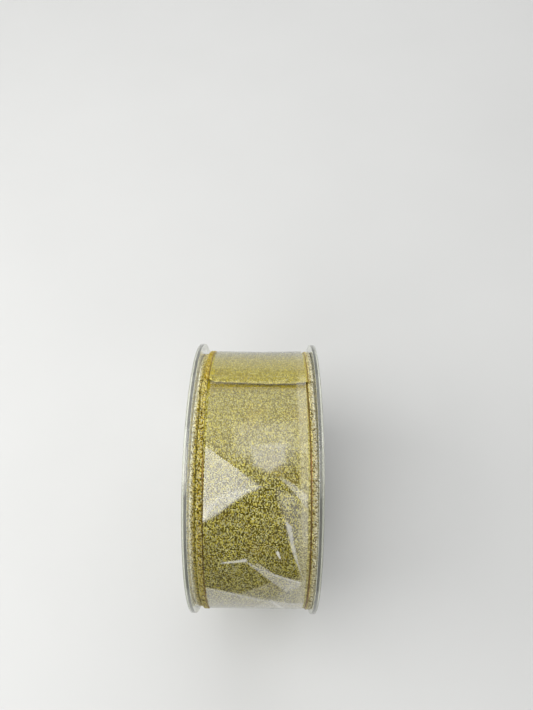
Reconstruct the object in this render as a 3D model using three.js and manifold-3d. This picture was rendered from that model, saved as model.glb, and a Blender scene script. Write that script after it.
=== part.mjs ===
// A roll of wired gift ribbon on a clear, snap-together plastic spool.
// Millimetres, +Z up. The spool stands on its two rims with its axis along X. The origin is on
// the standing surface, under the axis and midway between the flanges.

import * as THREE from "three";
import { mergeVertices } from "three/addons/utils/BufferGeometryUtils.js";
import Module from "manifold-3d";

const wasm = await Module();
wasm.setup();

// ---------- driving dimensions ----------

const FLANGE_R = 50.8; // a 4 in spool
const SPOOL_WIDTH = 44; // over both rims
const RIM_THICKNESS = 1.6;
const WEB_THICKNESS = 1;
const RIM_DEPTH = 1.9; // radial depth of the thickened rim
const RIM_CHAMFER = 0.35;
const BEAD_R = 31.6; // moulded ring that frames the label
const BEAD_WIDTH = 1.2;
const BEAD_HEIGHT = 0.4;

const BORE_R = 9.6; // a 3/4 in rod passes through
const COLLAR_WALL = 1.6;
const COLLAR_LENGTH = 4.6; // from the outer plane of the rim inwards

const CORE_R = 25.4; // the ribbon is wound on a 2 in core
const CORE_WALL = 2.4;
const CORE_PLAY = 0.4; // lets the core turn on the hub
const HUB_WALL = 1.4;
const SPIGOT_PLAY = 0.5;
const SPIGOT_OVERLAP = 16; // how far the right half's spigot reaches into the left half's hub
const GRIP_RIBS = 6;
const GRIP_RIB_HEIGHT = 0.3;
const GRIP_RIB_WIDTH = 1.6;

const RIBBON_WIDTH = 38; // 1.5 in ribbon
const ROLL_R = 48.6; // over the ribbon's outer end
const LAYER_PITCH = 0.587; // radial growth for each turn
const TAIL_ANGLE = 22.5; // degrees past the top, towards +Y, where the ribbon's outer end lies
const HEM_LENGTH = 11; // the end is folded under this far
const HEM_RISE = 0.25;
const CORD_WIDTH = 1.5; // overlocked selvedge with the wire inside it
const WIRE_SIZE = 0.45;

const TAPE_WIDTH = 19; // holds the ribbon's first end on the core
const TAPE_ANGLE = 26;
const TAPE_THICKNESS = 0.15;

const FILM_THICKNESS = 0.3;
const FILM_WIDTH = 37;
const SEAM_ANGLE = 150; // degrees from the top, towards +Y, of the middle of the film's seam
const SEAM_LENGTH = 14;

const LABEL_R = 30;
const LABEL_HOLE_R = 12.4;
const LABEL_THICKNESS = 0.15;

const GAP = 0.3; // between pieces that touch
const SIDES = 72; // facets round the spool: it stands on one of them
const SPIRAL_STEPS = 96;

// ---------- derived dimensions ----------

const OUTER_X = SPOOL_WIDTH / 2;
const INNER_X = OUTER_X - RIM_THICKNESS; // inner face of each flange
const WEB_X = INNER_X + WEB_THICKNESS; // outer face of each web
const CORE_BORE_R = CORE_R - CORE_WALL;
const HUB_R = CORE_BORE_R - CORE_PLAY;
const HUB_BORE_R = HUB_R - HUB_WALL;
const SPIGOT_R = HUB_BORE_R - SPIGOT_PLAY;
const SPIGOT_BORE_R = SPIGOT_R - HUB_WALL;
const COLLAR_R = BORE_R + COLLAR_WALL;
const ROLL_BORE_R = CORE_R + GAP;
const CORD_X = RIBBON_WIDTH / 2 - CORD_WIDTH; // inner side of each edge cord
const BODY_HALF_WIDTH = CORD_X - GAP;
const FILM_R = ROLL_R + GAP;
const FILM_OUTER_R = FILM_R + FILM_THICKNESS;

// ---------- helpers ----------

const degrees = THREE.MathUtils.degToRad;

// A closed profile of [radius, x] corners, anticlockwise, turned about the spool's axis.
// Radii are to the flats, and a flat faces straight down.
function turned(profile, sides = SIDES) {
  const corner = 1 / Math.cos(Math.PI / sides);
  const points = [...profile, profile[0]].map(([r, x]) => new THREE.Vector2(r * corner, x));
  return new THREE.LatheGeometry(points, sides, Math.PI / sides).rotateZ(-Math.PI / 2);
}

function ring(innerR, outerR, x0, x1) {
  return turned([[innerR, x0], [outerR, x0], [outerR, x1], [innerR, x1]]);
}

// A shape drawn across the spool (its x is the spool's Y, its y is Z), extruded from x0 to x1.
function acrossSpool(shape, x0, x1) {
  const toAxis = new THREE.Matrix4().makeBasis(
    new THREE.Vector3(0, 1, 0),
    new THREE.Vector3(0, 0, 1),
    new THREE.Vector3(1, 0, 0),
  );
  const geometry = new THREE.ExtrudeGeometry(shape, { depth: x1 - x0, bevelEnabled: false });
  return geometry.translate(0, 0, x0).applyMatrix4(toAxis);
}

// The point at a radius and an angle from the top towards +Y, in a shape across the spool.
function polar(radius, angle) {
  return new THREE.Vector2(radius * Math.sin(angle), radius * Math.cos(angle));
}

// A curved strip centred on an angle, such as a piece of tape.
function strip(innerR, outerR, middle, angle, halfWidth, steps = 12) {
  const along = (radius) => Array.from({ length: steps + 1 }, (_, i) =>
    polar(radius, middle + angle * (i / steps - 0.5)));
  const shape = new THREE.Shape([...along(innerR), ...along(outerR).reverse()]);
  return acrossSpool(shape, -halfWidth, halfWidth);
}

function toSolid(geometry) {
  const bare = new THREE.BufferGeometry();
  bare.setIndex(geometry.index);
  bare.setAttribute("position", geometry.getAttribute("position"));
  const merged = mergeVertices(bare, 1e-3);
  return new wasm.Manifold(new wasm.Mesh({
    numProp: 3,
    vertProperties: merged.getAttribute("position").array,
    triVerts: new Uint32Array(merged.index.array),
  }));
}

function toGeometry(solid) {
  const mesh = solid.getMesh();
  const geometry = new THREE.BufferGeometry();
  geometry.setAttribute("position", new THREE.BufferAttribute(mesh.vertProperties, mesh.numProp));
  geometry.setIndex(new THREE.BufferAttribute(mesh.triVerts, 1));
  return geometry;
}

// ---------- materials ----------

function material(color, roughness, metalness = 0, opacity = 1) {
  return new THREE.MeshStandardMaterial({
    color, roughness, metalness, opacity, transparent: opacity < 1,
  });
}

const clearPlastic = () => material(0xdde3de, 0.12, 0, 0.35);
const clearFilm = () => material(0xf2f2ec, 0.08, 0, 0.2);
const paperboard = () => material(0xb69a72, 0.9);
const adhesiveTape = () => material(0xe9e2cf, 0.35, 0, 0.6);
const goldRibbon = () => material(0xb3a45f, 0.45, 0.6);
const goldThread = () => material(0xc9a84a, 0.4, 0.7);
const copperWire = () => material(0xb87348, 0.35, 1);
const labelPaper = () => material(0xf3efe4, 0.7);

// ---------- spool ----------

// The corners of a flange's web and rim, for the half on the +X side, from the bore's inner
// edge round the rim and back. Its outer side is stepped, and its inner side is flat.
function flangeCorners() {
  const rimR = FLANGE_R - RIM_DEPTH;
  const beadX = WEB_X + BEAD_HEIGHT;
  return [
    [FLANGE_R, INNER_X],
    [FLANGE_R, OUTER_X - RIM_CHAMFER],
    [FLANGE_R - RIM_CHAMFER, OUTER_X],
    [rimR, OUTER_X],
    [rimR, WEB_X],
    [BEAD_R + BEAD_WIDTH / 2, WEB_X],
    [BEAD_R + BEAD_WIDTH / 2, beadX],
    [BEAD_R - BEAD_WIDTH / 2, beadX],
    [BEAD_R - BEAD_WIDTH / 2, WEB_X],
    [COLLAR_R, WEB_X],
    [COLLAR_R, OUTER_X],
    [BORE_R, OUTER_X],
    [BORE_R, OUTER_X - COLLAR_LENGTH],
    [COLLAR_R, OUTER_X - COLLAR_LENGTH],
    [COLLAR_R, INNER_X],
  ];
}

// The flange with its hub tube, which runs from the inner face to tubeEnd.
function flangeHalf(tubeInnerR, tubeOuterR, tubeEnd) {
  return [
    ...flangeCorners(),
    [tubeInnerR, INNER_X],
    [tubeInnerR, tubeEnd],
    [tubeOuterR, tubeEnd],
    [tubeOuterR, INNER_X],
  ];
}

// The left half carries the hub that the core turns on.
function leftFlange() {
  const profile = flangeHalf(HUB_BORE_R, HUB_R, -INNER_X + GAP);
  return turned(profile.map(([r, x]) => [r, -x]).reverse());
}

// The right half's spigot is gripped inside the hub by lengthwise ribs.
function rightFlange() {
  const spigotEnd = INNER_X - SPIGOT_OVERLAP;
  const ribLength = SPIGOT_OVERLAP - GAP;
  let half = toSolid(turned(flangeHalf(SPIGOT_BORE_R, SPIGOT_R, spigotEnd)));
  for (let i = 0; i < GRIP_RIBS; i++) {
    const sunk = HUB_WALL / 2;
    const rib = new THREE.BoxGeometry(ribLength, GRIP_RIB_WIDTH, GRIP_RIB_HEIGHT + sunk);
    rib.translate(spigotEnd + SPIGOT_OVERLAP - ribLength / 2, 0, SPIGOT_R + (GRIP_RIB_HEIGHT - sunk) / 2);
    rib.rotateX((i * 2 * Math.PI) / GRIP_RIBS);
    half = half.add(toSolid(rib));
  }
  return toGeometry(half);
}

function coreTube() {
  return ring(CORE_BORE_R, CORE_R, -INNER_X + 2 * GAP, INNER_X - 2 * GAP);
}

// A paper ring stuck inside the moulded bead on the right flange's outer side.
function sideLabel() {
  const x0 = WEB_X + LABEL_THICKNESS;
  return ring(LABEL_HOLE_R, LABEL_R, x0, x0 + LABEL_THICKNESS);
}

// ---------- ribbon ----------

// The roll's outline grows by one pitch in a turn and ends in the step at the folded-under tail.
function rollOutline() {
  const hemStart = 1 - HEM_LENGTH / (2 * Math.PI * ROLL_R);
  const points = [];
  for (let i = 0; i <= SPIRAL_STEPS; i++) {
    const turn = i / SPIRAL_STEPS;
    const flat = ROLL_R - HEM_RISE - LAYER_PITCH * (1 - turn);
    const radius = turn > hemStart ? flat + HEM_RISE : flat;
    points.push(polar(radius, degrees(TAIL_ANGLE) - 2 * Math.PI * turn));
  }
  return points;
}

// The wound body of the ribbon between its two edge cords, with room for the tape on the core.
function ribbonRoll() {
  const shape = new THREE.Shape(rollOutline());
  const bore = Array.from({ length: SIDES }, (_, i) =>
    polar(ROLL_BORE_R / Math.cos(Math.PI / SIDES), (2 * Math.PI * (i + 0.5)) / SIDES));
  shape.holes.push(new THREE.Path(bore));
  const body = toSolid(acrossSpool(shape, -BODY_HALF_WIDTH, BODY_HALF_WIDTH));
  const pocketAngle = degrees(TAPE_ANGLE + 2);
  const pocket = strip(CORE_R, ROLL_BORE_R + TAPE_THICKNESS + GAP, 0, pocketAngle, TAPE_WIDTH / 2 + GAP);
  return toGeometry(body.subtract(toSolid(pocket)));
}

function startTape() {
  const innerR = ROLL_BORE_R;
  return strip(innerR, innerR + TAPE_THICKNESS, 0, degrees(TAPE_ANGLE), TAPE_WIDTH / 2);
}

// The selvedges of all the turns, side by side with the roll. A groove holds the outer turn's wire.
function edgeCord(side) {
  const outerR = ROLL_R - LAYER_PITCH;
  const grooveR = outerR - WIRE_SIZE - 2 * GAP;
  const middle = CORD_X + CORD_WIDTH / 2;
  const grooveHalf = WIRE_SIZE / 2 + GAP / 2;
  const profile = [
    [ROLL_BORE_R, CORD_X],
    [outerR, CORD_X],
    [outerR, middle - grooveHalf],
    [grooveR, middle - grooveHalf],
    [grooveR, middle + grooveHalf],
    [outerR, middle + grooveHalf],
    [outerR, CORD_X + CORD_WIDTH],
    [ROLL_BORE_R, CORD_X + CORD_WIDTH],
  ];
  return side > 0 ? turned(profile) : turned(profile.map(([r, x]) => [r, -x]).reverse());
}

function edgeWire(side) {
  const outerR = ROLL_R - LAYER_PITCH - GAP;
  const middle = side * (CORD_X + CORD_WIDTH / 2);
  return ring(outerR - WIRE_SIZE, outerR, middle - WIRE_SIZE / 2, middle + WIRE_SIZE / 2);
}

// ---------- wrapping ----------

function filmBand() {
  return ring(FILM_R, FILM_OUTER_R, -FILM_WIDTH / 2, FILM_WIDTH / 2);
}

function filmSeamTape() {
  const innerR = FILM_OUTER_R + GAP / 2;
  const angle = SEAM_LENGTH / innerR;
  return strip(innerR, innerR + TAPE_THICKNESS, degrees(SEAM_ANGLE), angle, FILM_WIDTH / 2);
}

// ---------- assembly ----------

const spool = new THREE.Group();
spool.position.z = FLANGE_R;

function place(name, geometry, surface) {
  const mesh = new THREE.Mesh(geometry, surface);
  mesh.name = name;
  spool.add(mesh);
}

place("left_flange", leftFlange(), clearPlastic());
place("right_flange", rightFlange(), clearPlastic());
place("side_label", sideLabel(), labelPaper());
place("core_tube", coreTube(), paperboard());
place("start_tape", startTape(), adhesiveTape());
place("ribbon_roll", ribbonRoll(), goldRibbon());
place("film_band", filmBand(), clearFilm());
place("film_seam_tape", filmSeamTape(), adhesiveTape());
for (const [name, side] of [["left", -1], ["right", 1]]) {
  place(`${name}_edge_cord`, edgeCord(side), goldThread());
  place(`${name}_edge_wire`, edgeWire(side), copperWire());
}

const ribbonSpool = new THREE.Group();
ribbonSpool.add(spool);

export default ribbonSpool;
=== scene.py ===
"""Looks of the ribbon spool: wired gold ribbon on a clear two-part spool, in a loose clear film band.

Lengths in this script are millimetres until a point goes into a mesh, which is in metres. Angles round
the spool are measured from the top towards +Y, the side away from the viewer.
"""

import math

import bpy
import numpy as np
from mathutils import Matrix, Vector
from mathutils.geometry import delaunay_2d_cdt


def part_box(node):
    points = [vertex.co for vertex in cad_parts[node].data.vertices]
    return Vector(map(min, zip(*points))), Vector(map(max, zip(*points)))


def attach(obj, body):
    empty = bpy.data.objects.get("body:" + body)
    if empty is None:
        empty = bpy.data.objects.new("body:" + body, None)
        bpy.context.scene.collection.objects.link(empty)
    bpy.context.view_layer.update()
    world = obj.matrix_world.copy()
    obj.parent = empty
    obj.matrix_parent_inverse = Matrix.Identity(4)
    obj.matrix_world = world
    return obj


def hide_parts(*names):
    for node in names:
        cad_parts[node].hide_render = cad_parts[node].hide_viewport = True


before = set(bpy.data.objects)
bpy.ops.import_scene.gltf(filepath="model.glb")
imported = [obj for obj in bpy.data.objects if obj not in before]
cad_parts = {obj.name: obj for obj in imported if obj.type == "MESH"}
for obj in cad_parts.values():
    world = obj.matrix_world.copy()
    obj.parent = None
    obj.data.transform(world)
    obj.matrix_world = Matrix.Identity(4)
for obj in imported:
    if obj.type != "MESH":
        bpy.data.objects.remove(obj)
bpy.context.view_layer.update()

MM = 0.001


def box_mm(node):
    low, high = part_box(node)
    return np.array(low) / MM, np.array(high) / MM


# ---------- sizes ----------

left_low, left_high = box_mm("left_flange")
right_low, right_high = box_mm("right_flange")
core_low, core_high = box_mm("core_tube")
label_low, label_high = box_mm("side_label")
seam_low, seam_high = box_mm("film_seam_tape")

AXIS_Z = (left_low[2] + left_high[2]) / 2
FLANGE_R = (left_high[2] - left_low[2]) / 2
OUTER_X = right_high[0]
RIM_THICKNESS = 1.6
WEB_THICKNESS = 1.0
RIM_DEPTH = 1.9
INNER_X = OUTER_X - RIM_THICKNESS
BORE_R = 9.6
COLLAR_R = 11.2
COLLAR_LENGTH = 4.6
BEAD_R = 31.6
BEAD_WIDTH = 1.2
BEAD_HEIGHT = 0.4
HUB_R, HUB_BORE_R = 22.6, 21.2
SPIGOT_R, SPIGOT_BORE_R = 20.7, 19.3
HUB_END = left_high[0]
SPIGOT_END = right_low[0]
GRIP_RIBS = 6
GRIP_RIB_HEIGHT = 0.3
LABEL_BORE_R = 12.4

CORE_R = (core_high[2] - core_low[2]) / 2
CORE_WALL = 2.4
CORE_BORE_R = CORE_R - CORE_WALL

RIBBON_WIDTH = 38.0
RIBBON_LENGTH = 9144.0  # 10 yd
CORD_WIDTH = 1.9
CORD_X = RIBBON_WIDTH / 2 - CORD_WIDTH / 2  # from the ribbon's middle to the middle of each edge cord
CORD_GIRTH = 2 * (CORD_WIDTH + 0.6)
STITCH_PITCH = 0.75
STITCH_SLANT = 0.5
FABRIC_HALF = RIBBON_WIDTH / 2 - CORD_WIDTH + 0.3  # the cloth goes 0.3 under each cord
CLOTH_THICKNESS = 0.12
TAIL_ANGLE = math.radians(22.5)  # where the fold at the ribbon's end lies
FIRST_R = CORE_R + 0.35
LAST_R = 48.5
LAST_TURN = 2 * math.pi * LAST_R
TURNS = RIBBON_LENGTH / (math.pi * (FIRST_R + LAST_R))
PITCH = (LAST_R - FIRST_R) / TURNS

# Places along the ribbon where its look changes, in millimetres from its start.
UNDER_FOLD = RIBBON_LENGTH - LAST_TURN  # the place on the turn beneath that the fold lies on
PROUD_FROM = RIBBON_LENGTH - 610  # from here the ribbon's left edge stands proud of the turns beneath
PROUD_TO = UNDER_FOLD - 40
TAIL_FROM, TAIL_TO = RIBBON_LENGTH - 60, RIBBON_LENGTH - 40  # the tail, whose thread has painted shade


def around(x, angle, radius):
    """Points x along the spool's axis, at an angle and a radius about it, in metres."""
    x, angle, radius = np.broadcast_arrays(x, angle, radius)
    across = radius * np.sin(angle)
    up = AXIS_Z + radius * np.cos(angle)
    return np.stack([x, across, up], axis=-1) * MM


def smooth(value, start, end):
    """0 before start, 1 after end, and a smooth step between them."""
    t = np.clip((value - start) / (end - start), 0, 1)
    return t * t * (3 - 2 * t)


# ---------- meshes ----------

def grid_piece(name, points, material, uv=None, close_rows=False, close_columns=False, caps=False):
    """A piece over points[row, column], in metres. uv has one more row or column where that closes."""
    rows, columns = points.shape[:2]
    index = np.arange(rows * columns).reshape(rows, columns)
    if close_rows:
        index = np.vstack([index, index[:1]])
    if close_columns:
        index = np.hstack([index, index[:, :1]])
    quads = np.stack([index[:-1, :-1], index[1:, :-1], index[1:, 1:], index[:-1, 1:]], axis=-1)
    faces = quads.reshape(-1, 4).tolist()
    if caps:
        faces += [index[0, :columns].tolist(), index[-1, :columns][::-1].tolist()]
    mesh = bpy.data.meshes.new(name)
    mesh.from_pydata(points.reshape(-1, 3).tolist(), [], faces)
    if uv is not None:
        corners = np.stack([uv[:-1, :-1], uv[1:, :-1], uv[1:, 1:], uv[:-1, 1:]], axis=2).reshape(-1, 2)
        loops = np.zeros((len(mesh.loops), 2))
        loops[:len(corners)] = corners
        mesh.uv_layers.new(name="Cloth").data.foreach_set("uv", loops.astype(np.float32).ravel())
    mesh.update()
    mesh.shade_smooth()
    mesh.materials.append(material)
    piece = bpy.data.objects.new(name, mesh)
    bpy.context.scene.collection.objects.link(piece)
    return piece


def rounded(corners, radius=0.25, steps=4):
    """A closed outline with its corners rounded. A point beside each curve keeps the flats flat."""
    corners = np.array(corners, float)
    outline = []
    for i, corner in enumerate(corners):
        to_before = corners[i - 1] - corner
        to_after = corners[(i + 1) % len(corners)] - corner
        before, after = np.linalg.norm(to_before), np.linalg.norm(to_after)
        cut = min(radius, 0.4 * before, 0.4 * after)
        start, end = corner + to_before / before * cut, corner + to_after / after * cut
        outline.append(start + to_before / before * cut * 0.15)
        for t in np.linspace(0, 1, steps + 1):
            outline.append((1 - t) ** 2 * start + 2 * t * (1 - t) * corner + t * t * end)
        outline.append(end + to_after / after * cut * 0.15)
    return np.array(outline)


def turned_piece(name, profile, material, sides=240, swell=None):
    """A closed profile of (radius, x) turned about the axis. swell(profile, angle) adds to the radius."""
    angle = np.linspace(0, 2 * math.pi, sides, endpoint=False)[:, None]
    radius = np.broadcast_to(profile[None, :, 0], (sides, len(profile)))
    if swell is not None:
        radius = radius + swell(profile, angle)
    points = around(profile[None, :, 1], -angle, radius)
    return grid_piece(name, points, material, close_rows=True, close_columns=True)


# ---------- material helpers ----------

class Shade:
    """A node material built in few words. Inputs are values, colours or the sockets of other nodes."""

    def __init__(self, name):
        self.material = bpy.data.materials.new(name)
        self.material.use_nodes = True
        self.tree = self.material.node_tree
        self.tree.nodes.clear()
        self.output = self.tree.nodes.new("ShaderNodeOutputMaterial")

    def node(self, kind, inputs=(), **settings):
        made = self.tree.nodes.new("ShaderNode" + kind)
        for key, value in settings.items():
            setattr(made, key, value)
        for key, value in dict(inputs).items():
            self.put(made.inputs[key], value)
        return made

    def put(self, socket, value):
        if isinstance(value, bpy.types.NodeSocket):
            self.tree.links.new(value, socket)
        elif isinstance(value, tuple) and socket.type == "RGBA" and len(value) == 3:
            socket.default_value = (*value, 1)
        else:
            socket.default_value = value

    def math(self, operation, *values):
        return self.node("Math", dict(enumerate(values)), operation=operation).outputs[0]

    def vector(self, operation, *values):
        return self.node("VectorMath", dict(enumerate(values)), operation=operation).outputs[0]

    def mix(self, factor, a, b):
        made = self.node("Mix", data_type="RGBA")
        self.put(made.inputs[0], factor)
        self.put(made.inputs[6], a)
        self.put(made.inputs[7], b)
        return made.outputs[2]

    def scaled(self, value, low, high):
        """A value from 0 to 1 spread from low to high."""
        made = self.node("MapRange", {"Value": value, "To Min": low, "To Max": high})
        return made.outputs[0]

    def spread(self, value, start, end, low, high):
        """A value clamped between start and end, then spread from low to high."""
        inputs = {"Value": value, "From Min": start, "From Max": end, "To Min": low, "To Max": high}
        return self.node("MapRange", inputs).outputs[0]

    def ramp(self, value, *stops):
        made = self.node("ValToRGB", {"Fac": value})
        elements = made.color_ramp.elements
        while len(elements) < len(stops):
            elements.new(0.5)
        for element, (position, colour) in zip(elements, stops):
            element.position = position
            element.color = (*colour, 1)
        return made.outputs[0]

    def noise(self, vector, scale, detail=2.0, roughness=0.5):
        inputs = {"Vector": vector, "Scale": scale, "Detail": detail, "Roughness": roughness}
        return self.node("TexNoise", inputs).outputs[0]

    def place(self):
        return self.node("TexCoord").outputs["Object"]

    def hump(self, value):
        """A half wave over each whole step of a value."""
        return self.math("SINE", self.math("MULTIPLY", self.math("FRACT", value), math.pi))

    def bump(self, height, distance, strength=1.0):
        inputs = {"Height": height, "Distance": distance, "Strength": strength}
        return self.node("Bump", inputs).outputs[0]

    def finish(self, **inputs):
        named = {key.replace("_", " "): value for key, value in inputs.items()}
        made = self.node("BsdfPrincipled", named)
        self.tree.links.new(made.outputs[0], self.output.inputs[0])
        return self.material


def cell_sparkle(shade, along, across, spread):
    """A random grey and a random tilt for the normal, for each cell of a grid."""
    cell = shade.node("CombineXYZ", {
        "X": shade.math("FLOOR", along),
        "Y": shade.math("FLOOR", across),
    }).outputs[0]
    random = shade.node("TexWhiteNoise", {"Vector": cell}, noise_dimensions="3D")
    tilt = shade.vector("SUBTRACT", random.outputs["Color"], (0.5, 0.5, 0.5))
    tilt = shade.node("VectorMath", {0: tilt, "Scale": spread}, operation="SCALE").outputs[0]
    return random.outputs["Value"], tilt


# ---------- materials ----------

WEFT_PITCH = 0.38
THREAD_PITCH = 0.30
FIBRE_WIDTH = 0.3
BORDER_FROM = 12.6  # across the ribbon: the paler cloth beside the right edge cord
GROOVE_SHADE_FROM = 16.45  # painted shade: the dark line in the groove between that border and the cord
DOUBLED_FROM = RIBBON_LENGTH - 26  # the tail is richer where the hem lies under it
HEM_LIES_ON = RIBBON_LENGTH - 308  # and so is the turn beneath, on both sides of the fold


def ribbon_cloth():
    """Metallic weave: rows across the ribbon, with offset threads. Each crossing has its own mirror tilt."""
    shade = Shade("gold_lurex")
    uv = shade.node("UVMap", uv_map="Cloth").outputs[0]
    drift = shade.noise(uv, 0.1, 2.0)
    across, along, _ = shade.node("SeparateXYZ", {0: uv}).outputs
    row = shade.math("MULTIPLY_ADD", drift, 1.6, shade.math("DIVIDE", along, WEFT_PITCH))
    odd = shade.math("MODULO", shade.math("FLOOR", row), 2.0)
    column = shade.math("MULTIPLY_ADD", odd, 0.5, shade.math("DIVIDE", across, THREAD_PITCH))
    grey, tilt = cell_sparkle(shade, row, column, 1.0)
    hump = shade.math("MULTIPLY", shade.hump(row), shade.hump(column))
    colour = shade.ramp(
        grey, (0.0, (0.01, 0.008, 0.001)), (0.38, (0.07, 0.057, 0.003)), (0.50, (0.74, 0.62, 0.07)),
        (0.66, (1.0, 0.92, 0.26)), (1.0, (1.0, 0.98, 0.62)))
    border = shade.spread(across, BORDER_FROM, BORDER_FROM + 1.6, 0.0, 0.6)
    pale = shade.ramp(grey, (0.0, (0.30, 0.24, 0.05)), (0.5, (1.0, 0.92, 0.50)))
    colour = shade.mix(border, colour, pale)
    patch = shade.noise(uv, 0.06, 2.0)
    colour = shade.mix(shade.scaled(patch, 0.0, 0.25), colour, (0.56, 0.46, 0.07))
    doubled = shade.spread(along, DOUBLED_FROM, DOUBLED_FROM + 11, 0.0, 0.45)
    colour = shade.mix(doubled, colour, (1.0, 0.84, 0.10))
    from_hem = shade.math("ABSOLUTE", shade.math("SUBTRACT", along, HEM_LIES_ON))
    colour = shade.mix(shade.spread(from_hem, 20, 44, 0.32, 0.0), colour, (0.66, 0.56, 0.075))
    rusty = shade.noise(shade.vector("ADD", uv, (300.0, 0.0, 0.0)), 0.09, 1.0)
    colour = shade.mix(shade.spread(rusty, 0.55, 0.8, 0.0, 0.3), colour, (0.52, 0.35, 0.05))
    gap = shade.math("SUBTRACT", 1.0, shade.math("POWER", hump, 0.28))
    colour = shade.mix(gap, colour, (0.11, 0.085, 0.009))
    below_fold = shade.math("SUBTRACT", along, UNDER_FOLD)
    shadow = shade.math("MULTIPLY", shade.spread(below_fold, -3.0, -2.0, 0.0, 1.0),
                        shade.spread(below_fold, 0.6, 2.8, 0.75, 0.0))
    colour = shade.mix(shadow, colour, (0.40, 0.30, 0.001))
    # painted shade on the underside of the fold at the ribbon's end
    fold_underside_shade = shade.spread(along, RIBBON_LENGTH + 0.45, RIBBON_LENGTH + 0.7, 0.0, 0.8)
    colour = shade.mix(fold_underside_shade, colour, (0.16, 0.12, 0.01))
    # painted shade in the groove beside the right cord, lighter on the tail
    seam = shade.math("MULTIPLY", shade.spread(across, GROOVE_SHADE_FROM, GROOVE_SHADE_FROM + 0.3, 0.0, 0.8),
                      shade.spread(along, TAIL_FROM, TAIL_TO, 1.0, 0.3))
    colour = shade.mix(seam, colour, (0.10, 0.045, 0.012))
    bumped = shade.bump(hump, 0.00012, 0.8)
    normal = shade.vector("NORMALIZE", shade.vector("ADD", bumped, tilt))
    return shade.finish(Base_Color=colour, Metallic=0.5, Roughness=shade.scaled(grey, 0.45, 0.2),
                        Normal=normal, Specular_IOR_Level=0.1)


def gold_thread(name, highlight, highlight_to, highlight_from, highlight_by, tail_shade):
    """Overlocked metallic thread: slanting stitches with a sparkle in each.

    Its outer border is painted pale, a painted highlight of the lamps on the edge that stands proud of
    the roll, by as much as highlight says, from there to the place highlight_to along the ribbon.
    highlight_from and highlight_by give the highlight's fade, as distances from the middle of the cord's
    girth. tail_shade is how much darker and richer the thread is painted on the tail, a painted shade.
    """
    shade = Shade(name)
    uv = shade.node("UVMap", uv_map="Cloth").outputs[0]
    girth, along, _ = shade.node("SeparateXYZ", {0: uv}).outputs
    slant = shade.math("MULTIPLY_ADD", girth, STITCH_SLANT, along)
    stitch = shade.math("DIVIDE", slant, STITCH_PITCH / 2)
    fibre = shade.math("DIVIDE", girth, FIBRE_WIDTH)
    grey, tilt = cell_sparkle(shade, stitch, fibre, 0.7)
    hump = shade.hump(stitch)
    gold = shade.ramp(
        grey, (0.0, (0.03, 0.02, 0.002)), (0.3, (0.24, 0.17, 0.015)), (0.55, (0.80, 0.64, 0.09)),
        (1.0, (1.0, 0.93, 0.55)))
    # painted highlight: the pale colour of the cord's outer border, where the lamps catch it
    highlight_colour = shade.ramp(
        grey, (0.0, (0.06, 0.04, 0.01)), (0.22, (0.50, 0.42, 0.20)), (0.4, (1.0, 0.95, 0.70)),
        (1.0, (1.0, 0.99, 0.90)))
    from_middle = shade.math("ABSOLUTE", shade.math("SUBTRACT", girth, CORD_GIRTH / 2))
    border = shade.spread(from_middle, highlight_from, highlight_by, 1.0, 0.0)
    # where the painted highlight goes along the ribbon, from where the edge stands proud
    proud = shade.math("MULTIPLY", shade.spread(along, PROUD_FROM - 15, PROUD_FROM, 0.0, highlight),
                       shade.spread(along, highlight_to, highlight_to + 15, 1.0, 0.0))
    colour = shade.mix(shade.math("MULTIPLY", border, proud), gold, highlight_colour)
    # painted shade: the thread on the tail is darker and richer gold, with less sheen
    colour = shade.mix(shade.spread(along, TAIL_FROM, TAIL_TO, 0.0, tail_shade), colour, (0.68, 0.46, 0.008))
    gap = shade.math("SUBTRACT", 1.0, shade.math("POWER", hump, 0.5))
    colour = shade.mix(gap, colour, (0.06, 0.035, 0.005))
    bumped = shade.bump(hump, 0.00015, 0.9)
    normal = shade.vector("NORMALIZE", shade.vector("ADD", bumped, tilt))
    return shade.finish(Base_Color=colour, Metallic=0.6, Roughness=shade.scaled(grey, 0.45, 0.2),
                        Normal=normal, Specular_IOR_Level=0.1)


def copper_wire():
    shade = Shade("copper_wire")
    drawn = shade.noise(shade.place(), 900.0, 3.0)
    colour = shade.mix(drawn, (0.17, 0.08, 0.035), (0.48, 0.25, 0.14))
    return shade.finish(Base_Color=colour, Metallic=1.0, Roughness=shade.scaled(drawn, 0.2, 0.4))


def lamp_through(shade, surface, tint):
    """Lets lamps shine through a clear surface."""
    light_path = shade.node("LightPath")
    through = shade.node("BsdfTransparent", {"Color": tint})
    shadow_ray = light_path.outputs["Is Shadow Ray"]
    mixed = shade.node("MixShader", {0: shadow_ray, 1: surface, 2: through.outputs[0]})
    shade.tree.links.new(mixed.outputs[0], shade.output.inputs[0])
    return shade.material


def from_axis(shade, place):
    """The distance from the spool's axis, in metres."""
    centred = shade.vector("MULTIPLY", shade.vector("SUBTRACT", place, (0, 0, AXIS_Z * MM)), (0, 1, 1))
    return shade.node("VectorMath", {0: centred}, operation="LENGTH").outputs["Value"]


def clear_plastic():
    """Moulded polystyrene: a clear web, a milkier rim, faint flow ripples and handling haze."""
    shade = Shade("clear_polystyrene")
    place = shade.place()
    ripple = shade.noise(place, 120.0, 2.0)
    scuff = shade.noise(place, 900.0, 4.0, 0.7)
    rim = (FLANGE_R - RIM_DEPTH) * MM
    milky = shade.spread(from_axis(shade, place), rim - 0.0012, rim, 0.0, 1.0)
    surface = shade.node("BsdfPrincipled", {
        "Base Color": shade.mix(milky, (0.96, 0.97, 0.95), (0.82, 0.83, 0.74)),
        "Roughness": shade.scaled(scuff, 0.04, 0.18),
        "IOR": 1.57,
        "Transmission Weight": shade.scaled(milky, 0.985, 0.89),
        "Normal": shade.bump(ripple, 0.00006, 0.4),
    })
    return lamp_through(shade, surface.outputs[0], (0.9, 0.93, 0.91))


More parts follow.
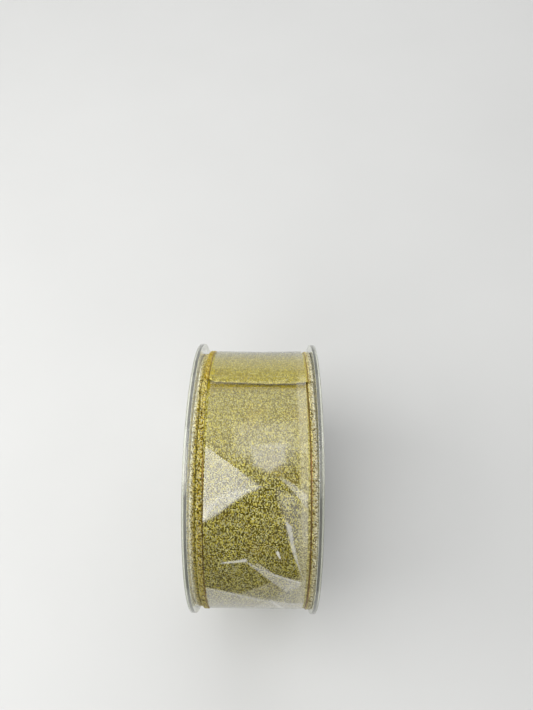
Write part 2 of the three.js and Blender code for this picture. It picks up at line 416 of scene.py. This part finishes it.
def clear_film():
    """Thin glossy film, clear between reflections; milky worked creases, partly painted reflection."""
    shade = Shade("clear_film")
    grain = shade.noise(shade.place(), 260.0, 3.0)
    normal = shade.bump(grain, 0.0001, 0.12)
    facing = shade.node("LayerWeight", {"Blend": 0.5, "Normal": normal}).outputs["Facing"]
    mirror = shade.math("MULTIPLY_ADD", shade.math("POWER", facing, 3.0), 0.7, 0.07)
    gloss = shade.node("BsdfGlossy", {"Roughness": 0.09, "Normal": normal})
    clear = shade.node("BsdfTransparent", {"Color": (0.97, 0.97, 0.96)})
    white = shade.node("BsdfDiffuse", {"Color": (0.93, 0.92, 0.88)})
    streaks = shade.noise(shade.place(), 1100.0, 3.0, 0.6)
    # the crease attribute holds crease whitening and painted reflection of lit facets
    crease = shade.node("Attribute", attribute_name="crease").outputs["Fac"]
    milky = shade.math("MULTIPLY", crease, shade.scaled(streaks, 0.45, 1.5))
    glazed = shade.node("MixShader", {0: mirror, 1: clear.outputs[0], 2: gloss.outputs[0]})
    mixed = shade.node("MixShader", {0: milky, 1: glazed.outputs[0], 2: white.outputs[0]})
    shade.tree.links.new(mixed.outputs[0], shade.output.inputs[0])
    return shade.material


def tape_plastic():
    """Matte adhesive tape: milky, with the backing's fine grain."""
    shade = Shade("adhesive_tape")
    grain = shade.noise(shade.place(), 1800.0, 3.0)
    colour = shade.mix(grain, (0.80, 0.77, 0.66), (0.90, 0.88, 0.80))
    return shade.finish(Base_Color=colour, Roughness=shade.scaled(grain, 0.25, 0.5), Alpha=0.45,
                        Normal=shade.bump(grain, 0.00005, 0.5))


def kraft_board():
    """Spiral-wound paperboard: fibres and blotches."""
    shade = Shade("kraft_paperboard")
    place = shade.place()
    fibre = shade.noise(place, 700.0, 6.0, 0.7)
    blotch = shade.noise(place, 60.0, 3.0)
    colour = shade.mix(fibre, (0.36, 0.24, 0.13), (0.60, 0.45, 0.28))
    colour = shade.mix(shade.scaled(blotch, 0.0, 0.4), colour, (0.46, 0.33, 0.19))
    return shade.finish(Base_Color=colour, Roughness=0.85, Normal=shade.bump(fibre, 0.0001, 0.6))


def label_paper():
    """Coated label paper with two plain gold rings printed on it, and no words."""
    shade = Shade("label_paper")
    place = shade.place()
    radius = from_axis(shade, place)
    fibre = shade.noise(place, 1500.0, 4.0)
    colour = shade.mix(fibre, (0.80, 0.76, 0.67), (0.88, 0.85, 0.78))
    for middle, half in ((0.0288, 0.0004), (0.0136, 0.0003)):
        off = shade.math("ABSOLUTE", shade.math("SUBTRACT", radius, middle))
        ink = shade.math("LESS_THAN", off, half)
        colour = shade.mix(ink, colour, (0.50, 0.38, 0.12))
    return shade.finish(Base_Color=colour, Roughness=shade.scaled(fibre, 0.35, 0.55),
                        Normal=shade.bump(fibre, 0.00003, 0.4))


def floor_surface():
    shade = Shade("pale_floor")
    mottle = shade.noise(shade.place(), 14.0, 4.0)
    colour = shade.mix(mottle, (0.515, 0.515, 0.505), (0.545, 0.545, 0.535))
    return shade.finish(Base_Color=colour, Roughness=0.55)


CLEAR_PLASTIC = clear_plastic()
CLEAR_FILM = clear_film()
RIBBON_CLOTH = ribbon_cloth()
# the left cord gets a painted highlight on its proud border, the right cord a fainter one all along
LEFT_THREAD = gold_thread("gold_overlock_left", highlight=1.0, highlight_to=PROUD_TO,
                          highlight_from=0.6, highlight_by=1.5, tail_shade=0.5)
RIGHT_THREAD = gold_thread("gold_overlock_right", highlight=0.8, highlight_to=RIBBON_LENGTH,
                           highlight_from=CORD_GIRTH / 2 - 0.8, highlight_by=CORD_GIRTH / 2 - 2.2, tail_shade=0.0)
COPPER_WIRE = copper_wire()
TAPE = tape_plastic()
KRAFT = kraft_board()
LABEL_PAPER = label_paper()


def own(piece, body, slot, *nodes):
    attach(piece, body)
    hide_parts(*nodes)
    return piece


# ---------- spool ----------

def flange_profile(tube_inner, tube_outer, tube_end):
    """(radius, x) corners of the half on the +X side, anticlockwise from the rim's inner corner."""
    web_x = INNER_X + WEB_THICKNESS
    rim_in = FLANGE_R - RIM_DEPTH
    bead_x = web_x + BEAD_HEIGHT
    bead_in, bead_out = BEAD_R - BEAD_WIDTH / 2, BEAD_R + BEAD_WIDTH / 2
    collar_x = OUTER_X - COLLAR_LENGTH
    return [
        (FLANGE_R, INNER_X), (FLANGE_R, OUTER_X), (rim_in, OUTER_X), (rim_in, web_x),
        (bead_out, web_x), (bead_out, bead_x), (bead_in, bead_x), (bead_in, web_x),
        (COLLAR_R, web_x), (COLLAR_R, OUTER_X), (BORE_R, OUTER_X), (BORE_R, collar_x),
        (COLLAR_R, collar_x), (COLLAR_R, INNER_X),
        (tube_inner, INNER_X), (tube_inner, tube_end), (tube_outer, tube_end), (tube_outer, INNER_X),
    ]


def left_half():
    outline = rounded(flange_profile(HUB_BORE_R, HUB_R, -HUB_END))
    outline[:, 1] *= -1
    piece = turned_piece("left_flange_moulding", outline[::-1], CLEAR_PLASTIC)
    return own(piece, "hub_half", "clear_plastic", "left_flange")


def right_half():
    outline = rounded(flange_profile(SPIGOT_BORE_R, SPIGOT_R, SPIGOT_END))

    def grip_ribs(profile, angle):
        outer_wall = (np.abs(profile[:, 0] - SPIGOT_R) < 0.05) & (profile[:, 1] < INNER_X - 0.4)
        crest = np.cos(angle * GRIP_RIBS) ** 40 * (np.cos(angle * GRIP_RIBS) > 0)
        return GRIP_RIB_HEIGHT * crest * outer_wall[None, :]

    piece = turned_piece("right_flange_moulding", outline, CLEAR_PLASTIC, swell=grip_ribs)
    return own(piece, "cap_half", "clear_plastic", "right_flange")


def label():
    edge_r = label_high[2] - AXIS_Z
    outline = rounded([
        (edge_r, label_low[0]), (edge_r, label_high[0]),
        (LABEL_BORE_R, label_high[0]), (LABEL_BORE_R, label_low[0]),
    ], radius=0.04)
    piece = turned_piece("side_label_ring", outline, LABEL_PAPER)
    return own(piece, "cap_half", "label_paper", "side_label")


def core():
    outline = rounded([
        (CORE_R, core_low[0]), (CORE_R, core_high[0]),
        (CORE_BORE_R, core_high[0]), (CORE_BORE_R, core_low[0]),
    ], radius=0.35)
    piece = turned_piece("paperboard_core", outline, KRAFT)
    return own(piece, "roll", "paperboard", "core_tube")


# ---------- ribbon ----------

# Where the last turns lie along the axis: turns before the end, and millimetres towards +X.
LAST_TURNS = [
    (-3.2, 0.4), (-2.5, -1.1), (-2.25, -1.1), (-1.68, -0.95), (-1.3, 0.3), (-1.0, 0.7), (-0.92, 1.15),
    (-0.85, 1.35), (-0.75, 1.35), (-0.65, 1.3), (-0.35, 0.9), (-0.12, 1.0), (0.0, 0.95),
]
LOOSE_ANGLE = math.radians(-105)  # where the winding is loosest
LOOSENESS = 0.8
WOUND_STEPS = 4200


def lateral(turn):
    """How far the ribbon has wandered along the axis at a turn counted from the core."""
    wander = 0.7 * np.sin(turn * 2.13 + 0.4) + 0.45 * np.sin(turn * 5.37 + 1.9) + 0.25 * np.sin(turn * 9.1)
    before, places = np.array(LAST_TURNS).T
    left = turn - TURNS
    shifts = (-0.03, -0.015, 0, 0.015, 0.03)
    settled = np.mean([np.interp(left + shift, before, places) for shift in shifts], axis=0)
    return wander + (settled - wander) * smooth(left, -3.6, -3.0)


def spiral(turn):
    """Angle and radius at a turn counted from the core, with the winding looser on one side."""
    angle = TAIL_ANGLE + 2 * math.pi * (TURNS - turn)
    slack = LOOSENESS * (turn / TURNS) ** 2 * np.cos(angle - LOOSE_ANGLE)
    return angle, FIRST_R + PITCH * turn + slack


def length_at(turn):
    """The length of ribbon up to a turn counted from the core."""
    return 2 * math.pi * (FIRST_R * turn + PITCH * turn * turn / 2)


HEM_LENGTH = 11.0
FOLD_R = 0.34
FOLD_PATH = math.pi * FOLD_R
END_LIFT = 0.42  # how far the hem lifts the ribbon's end


def turn_at(s):
    """The turn at a place s along the ribbon, counted from the fold at its end."""
    return TURNS + np.minimum(s, 0) / LAST_TURN


def end_points(s, across, height):
    """Points on the last turn and its folded end. s runs along it, 0 at the fold."""
    turn = turn_at(s)
    angle, radius = spiral(turn)
    near_end = smooth(s, -30, 0)
    bow = 0.7 + 0.05 * np.abs(across - 4) + 0.9 * smooth(across, 10, 19)
    corner = 5.2 * smooth(-across, 14, 21.8)
    fold = np.radians(bow + corner)
    dip = 0.16 * np.clip(1 - (across / FABRIC_HALF) ** 2, 0, 1) ** 0.7 * (1 - near_end)
    ripple = 0.06 * np.sin(s * 0.2 + across * 0.21) * np.sin(across * 0.35 + s * 0.075)
    swing = np.clip(s / FOLD_R, 0, math.pi)
    back = np.maximum(s - FOLD_PATH, 0)
    angle = angle + fold * near_end + back / LAST_R
    radius = radius + END_LIFT * smooth(s, -16, 0) - dip + ripple - 0.3 * smooth(back, 0, 7)
    angle = angle - (FOLD_R + height) * np.sin(swing) / LAST_R
    radius = radius - FOLD_R * (1 - np.cos(swing)) + height * np.cos(swing)
    return around(across + lateral(turn), angle, radius)


def end_steps(spacing):
    """Places along the last turn, finer round the fold."""
    wound = np.arange(-LAST_TURN * 1.02, -1.0, spacing)
    fold = np.linspace(-1.0, FOLD_PATH + 0.5, 22)
    hem = np.linspace(FOLD_PATH + 0.5, FOLD_PATH + HEM_LENGTH, int(HEM_LENGTH / spacing))[1:]
    return np.concatenate([wound, fold, hem])[:, None]


def thicken(piece, thickness):
    solidify = piece.modifiers.new("thickness", "SOLIDIFY")
    solidify.thickness = thickness * MM
    solidify.offset = 0
    return piece


def wound_ribbon():
    """All the turns under the last one."""
    across = np.linspace(-FABRIC_HALF, FABRIC_HALF, 9)[None, :]
    turn = np.linspace(0, TURNS - 1.02, WOUND_STEPS)[:, None]
    angle, radius = spiral(turn)
    uv = np.stack(np.broadcast_arrays(across, length_at(turn)), axis=-1)
    points = around(across + lateral(turn), angle, radius)
    piece = grid_piece("ribbon_wound_turns", points, RIBBON_CLOTH, uv=uv)
    return own(thicken(piece, CLOTH_THICKNESS), "roll", "gold_ribbon", "ribbon_roll")


def outer_turn():
    """The last turn, to the fold at its end and back under itself."""
    across = np.linspace(-FABRIC_HALF, FABRIC_HALF, 73)[None, :]
    s = end_steps(0.6)
    uv = np.stack(np.broadcast_arrays(across, length_at(TURNS) + s), axis=-1)
    piece = grid_piece("ribbon_outer_turn", end_points(s, across, 0), RIBBON_CLOTH, uv=uv)
    return own(thicken(piece, CLOTH_THICKNESS), "roll", "gold_ribbon", "ribbon_roll")


SIDES = (("left", -1), ("right", 1))


def band_section(sides):
    """The outline of an edge cord, across and in height: a flat band with a ridge along each border."""
    t = np.linspace(0, 2 * math.pi, sides, endpoint=False)
    across = CORD_WIDTH / 2 * np.cos(t)
    height = 0.27 * np.sign(np.sin(t)) * np.abs(np.sin(t)) ** 0.55
    ridge = 1 + 0.25 * np.cos(2 * math.pi * across / (CORD_WIDTH * 0.62) + math.pi)
    return across, height * ridge


def cord_uv(sides, along):
    arc = np.linspace(0, CORD_GIRTH, sides + 1)[None, :]
    return np.stack(np.broadcast_arrays(arc, along), axis=-1)


def wound_cord(name, side):
    across, height = band_section(10)
    turn = np.linspace(0, TURNS - 1.0, WOUND_STEPS)[:, None]
    angle, radius = spiral(turn)
    points = around(side * CORD_X + across + lateral(turn), angle, radius + height)
    thread = LEFT_THREAD if side < 0 else RIGHT_THREAD
    return grid_piece(name, points, thread, uv=cord_uv(10, length_at(turn)), close_columns=True, caps=True)


def outer_cord(name, side):
    """The edge of the last turn, with each stitch of the overlocking modelled."""
    sides = 20
    across, height = band_section(sides)
    s = end_steps(0.15)
    slanted = (s + STITCH_SLANT * across) / STITCH_PITCH
    stitch = 0.13 * np.abs(np.sin(math.pi * slanted)) * np.sign(height)
    points = end_points(s, side * CORD_X + across, height + stitch)
    uv = cord_uv(sides, length_at(TURNS) + s)
    thread = LEFT_THREAD if side < 0 else RIGHT_THREAD
    return grid_piece(name, points, thread, uv=uv, close_columns=True, caps=True)


def edge_cords():
    for word, side in SIDES:
        own(wound_cord(f"{word}_edge_cord_wound", side), "roll", "gold_thread", f"{word}_edge_cord")
        own(outer_cord(f"{word}_edge_cord_outer", side), "roll", "gold_thread", f"{word}_edge_cord")


WIRE_R = 0.11
WIRE_INWARD = 0.95
WIRE_PROUD = 0.12


def edge_wires():
    """One wire in each edge cord, as long as the ribbon. On the last turn it shows beside the cord."""
    t = np.linspace(0, 2 * math.pi, 8, endpoint=False)
    across, height = WIRE_R * np.cos(t), WIRE_R * np.sin(t)
    for word, side in SIDES:
        turn = np.linspace(0, TURNS - 1.05, 3600)[:, None]
        angle, radius = spiral(turn)
        inner = around(side * CORD_X + across + lateral(turn), angle, radius + height)
        s = end_steps(0.6)
        inward = WIRE_INWARD * smooth(s, -295, -275)
        last = end_points(s, side * (CORD_X - inward) + across, height + WIRE_PROUD)
        piece = grid_piece(f"{word}_edge_wire_strand", np.vstack([inner, last]), COPPER_WIRE,
                           close_columns=True, caps=True)
        own(piece, "roll", "copper_wire", f"{word}_edge_wire")


# ---------- tapes and film ----------

TAPE_THICKNESS = 0.06


def curved_strip(name, radius, middle, arc, x0, x1, steps=24):
    """A strip of tape of a given length round the spool, arc, and its middle at an angle."""
    angle = middle + np.linspace(-arc / 2, arc / 2, steps)[:, None] / radius
    x = np.linspace(x0, x1, 12)[None, :]
    wave = 0.02 * np.sin(x * 1.3) * np.cos(angle * 40)
    return thicken(grid_piece(name, around(x, angle, radius + wave), TAPE), TAPE_THICKNESS)


def start_tape():
    piece = curved_strip("start_tape_strip", CORE_R + 0.12, 0.0, 11.6, -9.5, 9.5)
    return own(piece, "roll", "tape", "start_tape")


FILM_LEFT, FILM_RIGHT = -15.4, 17.2
FILM_FLATNESS = 0.85  # 1 for flat facets between creases, 0 for a film that follows the roll
SEAM_R = 50.2
# Where the film's creases meet: x, degrees from the top, and height above the ribbon.
CREASES = [
    (-15.4, 60, 0.2), (2, 60, 0.1), (17.2, 60, 0.5),
    (-15.4, 27, 0.2), (-3, 26, 0.1), (8, 26.5, 0.2), (13.9, 27, 0.1), (17.2, 27, 0.4),
    (-15.4, 23.0, 0.12), (-8, 23.0, 0.12), (0, 23.0, 0.12), (8, 23.0, 0.12), (17.2, 23.0, 0.12),
    (-15.4, 20.6, 0.1), (-8, 20.6, 0.1), (0, 20.6, 0.1), (8, 20.6, 0.1), (17.2, 20.6, 0.1),
    (-15.4, 10, 0.5), (0, 12, 0.3), (13.9, 10, 0.2), (17.2, 8, 0.6),
    (-15.4, -6, 0.7), (0, -5, 0.5), (9, -6, 0.5), (13.9, -8, 0.2), (17.2, -8, 0.45),
    (-4.5, -14.2, 1.1), (4.5, -15.0, 0.7), (9.5, -12, 0.7), (13.9, -20, 0.3), (17.2, -24, 0.9),
    (2.6, -20.3, 1.4), (8.5, -18, 0.9), (-14.6, -32, 2.0), (-15.4, -33, 1.9),
    (7, -27, 0.7), (10.2, -34.5, 0.9), (12.8, -45, 0.8), (15.6, -56, 0.6),
    (17.2, -40, 0.7), (17.2, -58, 0.6),
    (-15.4, -44, 0.3), (-13.4, -50, 0.3), (-9.5, -49.7, 0.9), (-5, -49, 1.0), (-2.5, -48.5, 0.9),
    (6, -54.5, 0.9), (15.3, -59, 0.9), (-0.3, -52.5, 0.2), (6, -60, 0.2), (10.9, -66.8, 0.2),
    (-15.4, -64, 0.4), (-4.6, -68.5, 0.5), (2.7, -72.5, 0.6), (10.5, -76, 0.6), (17.2, -76, 0.5),
    (-15.4, -95, 0.2), (0, -95, 0.2), (17.2, -95, 0.2),
]
# Film whitening, partly painted reflection: how white, the soft edge's width, and x, degrees at each corner.
WHITENING_AND_REFLECTION_AREAS = [
    (0.15, 0.3, [(-15.6, -5.5), (2.8, -20.3), (-2.3, -22.5), (-6, -25.5), (-10.7, -29.8), (-15.6, -33)]),
    (0.14, 1.6, [(-15.6, -27), (-8, -22), (2.8, -20.3), (-2.3, -22.5), (-6, -25.5), (-10.7, -29.8),
                 (-15.6, -33)]),
    (0.09, 5.0, [(-7, 4), (13, 4), (14, -12), (4, -15), (-5, -9)]),
    (0.15, 1.6, [(-1, -5.5), (10, -4), (10, -11), (5, -15.2), (0, -12.5)]),
    (0.20, 0.8, [(8, -16.6), (12, -18.8), (16.8, -23), (16.8, -28), (12.5, -22)]),
    (0.11, 2.4, [(7, -21), (12, -23), (17.5, -30), (17.5, -59), (13, -45), (10.2, -34)]),
    (0.28, 0.5, [(10.0, -32.3), (12.1, -34.5), (12.8, -41), (16.1, -57.5), (15.7, -56), (12.2, -44)]),
    (0.15, 0.9, [(-2.7, -48.3), (6, -54.3), (15.3, -58.7), (15.4, -63), (10.9, -66.6), (6, -60),
                 (-0.3, -52)]),
    (0.15, 2.2, [(-15.6, -64), (-2.6, -68.9), (15, -77), (17.6, -76), (17.6, -112), (-15.6, -112)]),
    (0.11, 4.0, [(11, -60), (17.6, -56), (17.6, -90), (-6, -90), (8, -76)]),
    (0.08, 1.0, [(13.9, 24), (17.4, 24), (17.4, -50), (15.2, -36)]),
]
# Creases whitened, partly painted highlight: how white, then x, degrees and half width along each.
WHITENING_AND_HIGHLIGHT_CREASES = [
    (0.38, [(-9.6, -49.8, 0.3), (-5.5, -49.1, 0.6), (-2.4, -48.5, 0.8)]),
    (0.50, [(7.8, -45, 0.6), (8.7, -47.6, 0.25)]),
    (0.18, [(1.5, -50.2, 0.6), (7, -55.6, 0.6), (15, -59.4, 0.6)]),
    (0.20, [(6, -73, 0.6), (9, -84, 1.0), (12, -100, 0.9)]),
]


def under_film(angle):
    """The radius that the film stays above: the last turn, and the step up to its folded end."""
    wrapped = np.mod(angle - TAIL_ANGLE, 2 * math.pi)
    turn = TURNS - wrapped / (2 * math.pi)
    radius = spiral(turn)[1] + 0.1 + END_LIFT * (1 - smooth(wrapped, 0, 16 / LAST_R))
    past_fold = 2 * math.pi - wrapped
    bridge = (PITCH + END_LIFT) * (1 - smooth(past_fold, 0.0, 0.032))
    return radius + bridge


def crease_points():
    """CREASES, and seeded ones for the rest of the way round, each also a turn before and a turn after."""
    rng = np.random.default_rng(7)
    creases = list(CREASES)
    for degrees in range(-115, -290, -22):
        for x in (FILM_LEFT, -7 + rng.uniform(-3, 3), 6 + rng.uniform(-3, 3), FILM_RIGHT):
            creases.append((x, degrees + rng.uniform(-7, 7), rng.uniform(0.2, 1.2)))
    wrapped = creases + [(x, d + 360, h) for x, d, h in creases] + [(x, d - 360, h) for x, d, h in creases]
    return np.array([c for c in wrapped if -370 < c[1] < 120])


def film_points(x, angle):
    """Flat facets between the crease points, pressed out wherever the ribbon is in the way."""
    creases = crease_points()
    crease_angle = np.radians(creases[:, 1])
    crease_r = under_film(crease_angle) + creases[:, 2]
    flat = [Vector(p) for p in zip(creases[:, 0], crease_angle * LAST_R)]
    corners, _, triangles, origins, _, _ = delaunay_2d_cdt(flat, [], [], 0, 1e-6)
    corners = np.array([tuple(c) for c in corners])
    source = np.array([o[0] for o in origins])
    across, up = crease_r * np.sin(crease_angle), crease_r * np.cos(crease_angle)
    place = np.stack([creases[:, 0], across, up], axis=-1)
    px, py = x.ravel(), angle.ravel() * LAST_R
    facet = np.zeros((len(px), 3))
    height = np.zeros(len(px))
    for triangle in triangles:
        a, b, c = corners[triangle]
        area = (b[0] - a[0]) * (c[1] - a[1]) - (c[0] - a[0]) * (b[1] - a[1])
        if abs(area) < 1e-6:
            continue
        u = ((b[0] - px) * (c[1] - py) - (c[0] - px) * (b[1] - py)) / area
        v = ((c[0] - px) * (a[1] - py) - (a[0] - px) * (c[1] - py)) / area
        weights = np.stack([u, v, 1 - u - v], axis=-1)
        inside = (weights >= -1e-6).all(axis=1)
        corner = source[triangle]
        facet[inside] = weights[inside] @ place[corner]
        height[inside] = weights[inside] @ creases[corner, 2]
    facet_angle = angle.ravel() + np.mod(np.arctan2(facet[:, 1], facet[:, 2]) - angle.ravel() + math.pi,
                                         2 * math.pi) - math.pi
    facet_r = np.hypot(facet[:, 1], facet[:, 2])
    curved_r = under_film(angle.ravel()) + height
    film_angle = angle.ravel() + (facet_angle - angle.ravel()) * FILM_FLATNESS
    film_r = curved_r + (facet_r - curved_r) * FILM_FLATNESS
    film_r = np.maximum(film_r, under_film(film_angle) + 0.06)
    return around(facet[:, 0], film_angle, film_r).reshape(x.shape + (3,))


def inside_by(x, along, corners):
    """How far each place is inside an outline, in millimetres, or less than 0 outside it."""
    away = np.full(x.shape, np.inf)
    inside = np.zeros(x.shape, bool)
    for start, end in zip(corners, np.roll(corners, -1, axis=0)):
        run = end - start
        t = np.clip(((x - start[0]) * run[0] + (along - start[1]) * run[1]) / (run @ run), 0, 1)
        away = np.minimum(away, np.hypot(x - start[0] - t * run[0], along - start[1] - t * run[1]))
        if run[1] != 0:
            crosses = (start[1] > along) != (end[1] > along)
            inside ^= crosses & (x < start[0] + run[0] * (along - start[1]) / run[1])
    return np.where(inside, away, -away)


def whitening_and_reflection(x, angle):
    """How white the film is at each place: crease whitening and painted reflection."""
    along = angle * LAST_R
    clear = np.ones(x.shape)
    for strength, edge, outline in WHITENING_AND_REFLECTION_AREAS:
        corners = np.array([(cx, math.radians(d) * LAST_R) for cx, d in outline])
        clear *= 1 - strength * smooth(inside_by(x, along, corners), -edge / 2, edge / 2)
    for strength, stroke in WHITENING_AND_HIGHLIGHT_CREASES:
        places = np.array([(cx, math.radians(d) * LAST_R, width) for cx, d, width in stroke])
        nearest = np.full(x.shape, np.inf)
        for start, end in zip(places[:-1], places[1:]):
            run = end[:2] - start[:2]
            t = np.clip(((x - start[0]) * run[0] + (along - start[1]) * run[1]) / (run @ run), 0, 1)
            away = np.hypot(x - start[0] - t * run[0], along - start[1] - t * run[1])
            nearest = np.minimum(nearest, away / (start[2] + (end[2] - start[2]) * t))
        clear *= 1 - strength * (1 - smooth(nearest, 0.4, 1.2))
    return 1 - clear


def film():
    rows, columns = 1000, 100
    angle = np.radians(np.linspace(60, -300, rows, endpoint=False))[:, None]
    x = np.linspace(FILM_LEFT, FILM_RIGHT, columns)[None, :]
    x, angle = np.broadcast_arrays(x, angle)
    piece = grid_piece("film_wrap", film_points(x, angle), CLEAR_FILM, close_rows=True)
    # crease whitening and painted reflection, stored on the film's points
    crease = piece.data.attributes.new("crease", "FLOAT", "POINT")
    crease.data.foreach_set("value", whitening_and_reflection(x, angle).astype(np.float32).ravel())
    return own(piece, "roll", "clear_film", "film_band")


def seam_tape():
    middle = math.atan2((seam_low[1] + seam_high[1]) / 2, (seam_low[2] + seam_high[2]) / 2 - AXIS_Z)
    piece = curved_strip("film_seam_strip", SEAM_R, middle, 14.0, FILM_LEFT, FILM_RIGHT)
    return own(piece, "roll", "tape", "film_seam_tape")


# ---------- set ----------

def camera():
    """The photo's view: looking down from the viewer's side, 27 degrees off the vertical."""
    data = bpy.data.cameras.new("camera")
    data.lens = 28.5
    data.sensor_width = 36
    made = bpy.data.objects.new("camera", data)
    bpy.context.scene.collection.objects.link(made)
    tilt = Matrix.Rotation(math.radians(27), 4, "X") @ Matrix.Rotation(math.radians(0.64), 4, "Z")
    made.matrix_world = Matrix.Translation(Vector((3.65, -59.6, AXIS_Z + 219.7)) * MM) @ tilt
    bpy.context.scene.camera = made


def area_light(name, direction, distance, size, radiance, colour=(1, 1, 1)):
    """A soft light of a given radiance, a distance away in a direction, facing the spool."""
    data = bpy.data.lights.new(name, "AREA")
    data.shape = "RECTANGLE"
    data.size, data.size_y = size
    data.energy = radiance * math.pi * size[0] * size[1]
    data.color = colour
    made = bpy.data.objects.new(name, data)
    made.visible_camera = False
    bpy.context.scene.collection.objects.link(made)
    outward = Vector(direction).normalized()
    side = Vector((0, 1, 0)).cross(outward).normalized()
    along = outward.cross(side)
    turned = Matrix((side, along, outward)).transposed().to_4x4()
    made.matrix_world = Matrix.Translation(outward * distance) @ turned


def lights():
    area_light("window", (-0.75, -0.03, 0.65), 0.75, (0.42, 0.5), 4.7, (1.0, 0.995, 0.98))
    area_light("overhead_left", (-0.32, -0.04, 0.94), 1.1, (0.48, 0.8), 2.9)
    area_light("far_overhead", (0.1, 0.62, 0.78), 1.2, (1.2, 1.5), 1.2)
    area_light("front_fill", (-0.35, -0.75, 0.55), 1.2, (0.8, 0.8), 2.0)
    area_light("right_fill", (0.85, 0.1, 0.5), 1.4, (1.0, 0.8), 0.8)
    world = bpy.data.worlds.new("world")
    bpy.context.scene.world = world
    world.use_nodes = True
    background = world.node_tree.nodes["Background"]
    background.inputs["Color"].default_value = (0.97, 0.985, 1.0, 1)
    background.inputs["Strength"].default_value = 0.44


def dark_card():
    """A card out of view on the viewer's side, which keeps reflections of the room off the front."""
    shade = Shade("dark_card")
    blotch = shade.noise(shade.place(), 30.0)
    colour = shade.mix(blotch, (0.03, 0.03, 0.03), (0.05, 0.05, 0.05))
    material = shade.finish(Base_Color=colour, Roughness=0.9)
    x, z = np.meshgrid(np.linspace(-0.4, 0.4, 3), np.linspace(0.002, 0.34, 3), indexing="ij")
    card = grid_piece("dark_card", np.stack([x, np.full(x.shape, -0.17), z], axis=-1), material)
    card.visible_camera = False
    card.visible_diffuse = False
    card.visible_shadow = False


def floor():
    x = np.linspace(-1.6, 1.6, 3)
    points = np.stack(np.meshgrid(x, x, indexing="ij") + [np.zeros((3, 3))], axis=-1)
    grid_piece("floor", points, floor_surface())


camera()
lights()
floor()
dark_card()
left_half()
right_half()
label()
core()
start_tape()
wound = wound_ribbon()
outer = outer_turn()
edge_cords()
edge_wires()
film()
seam_tape()

bpy.context.scene.view_settings.view_transform = "Standard"
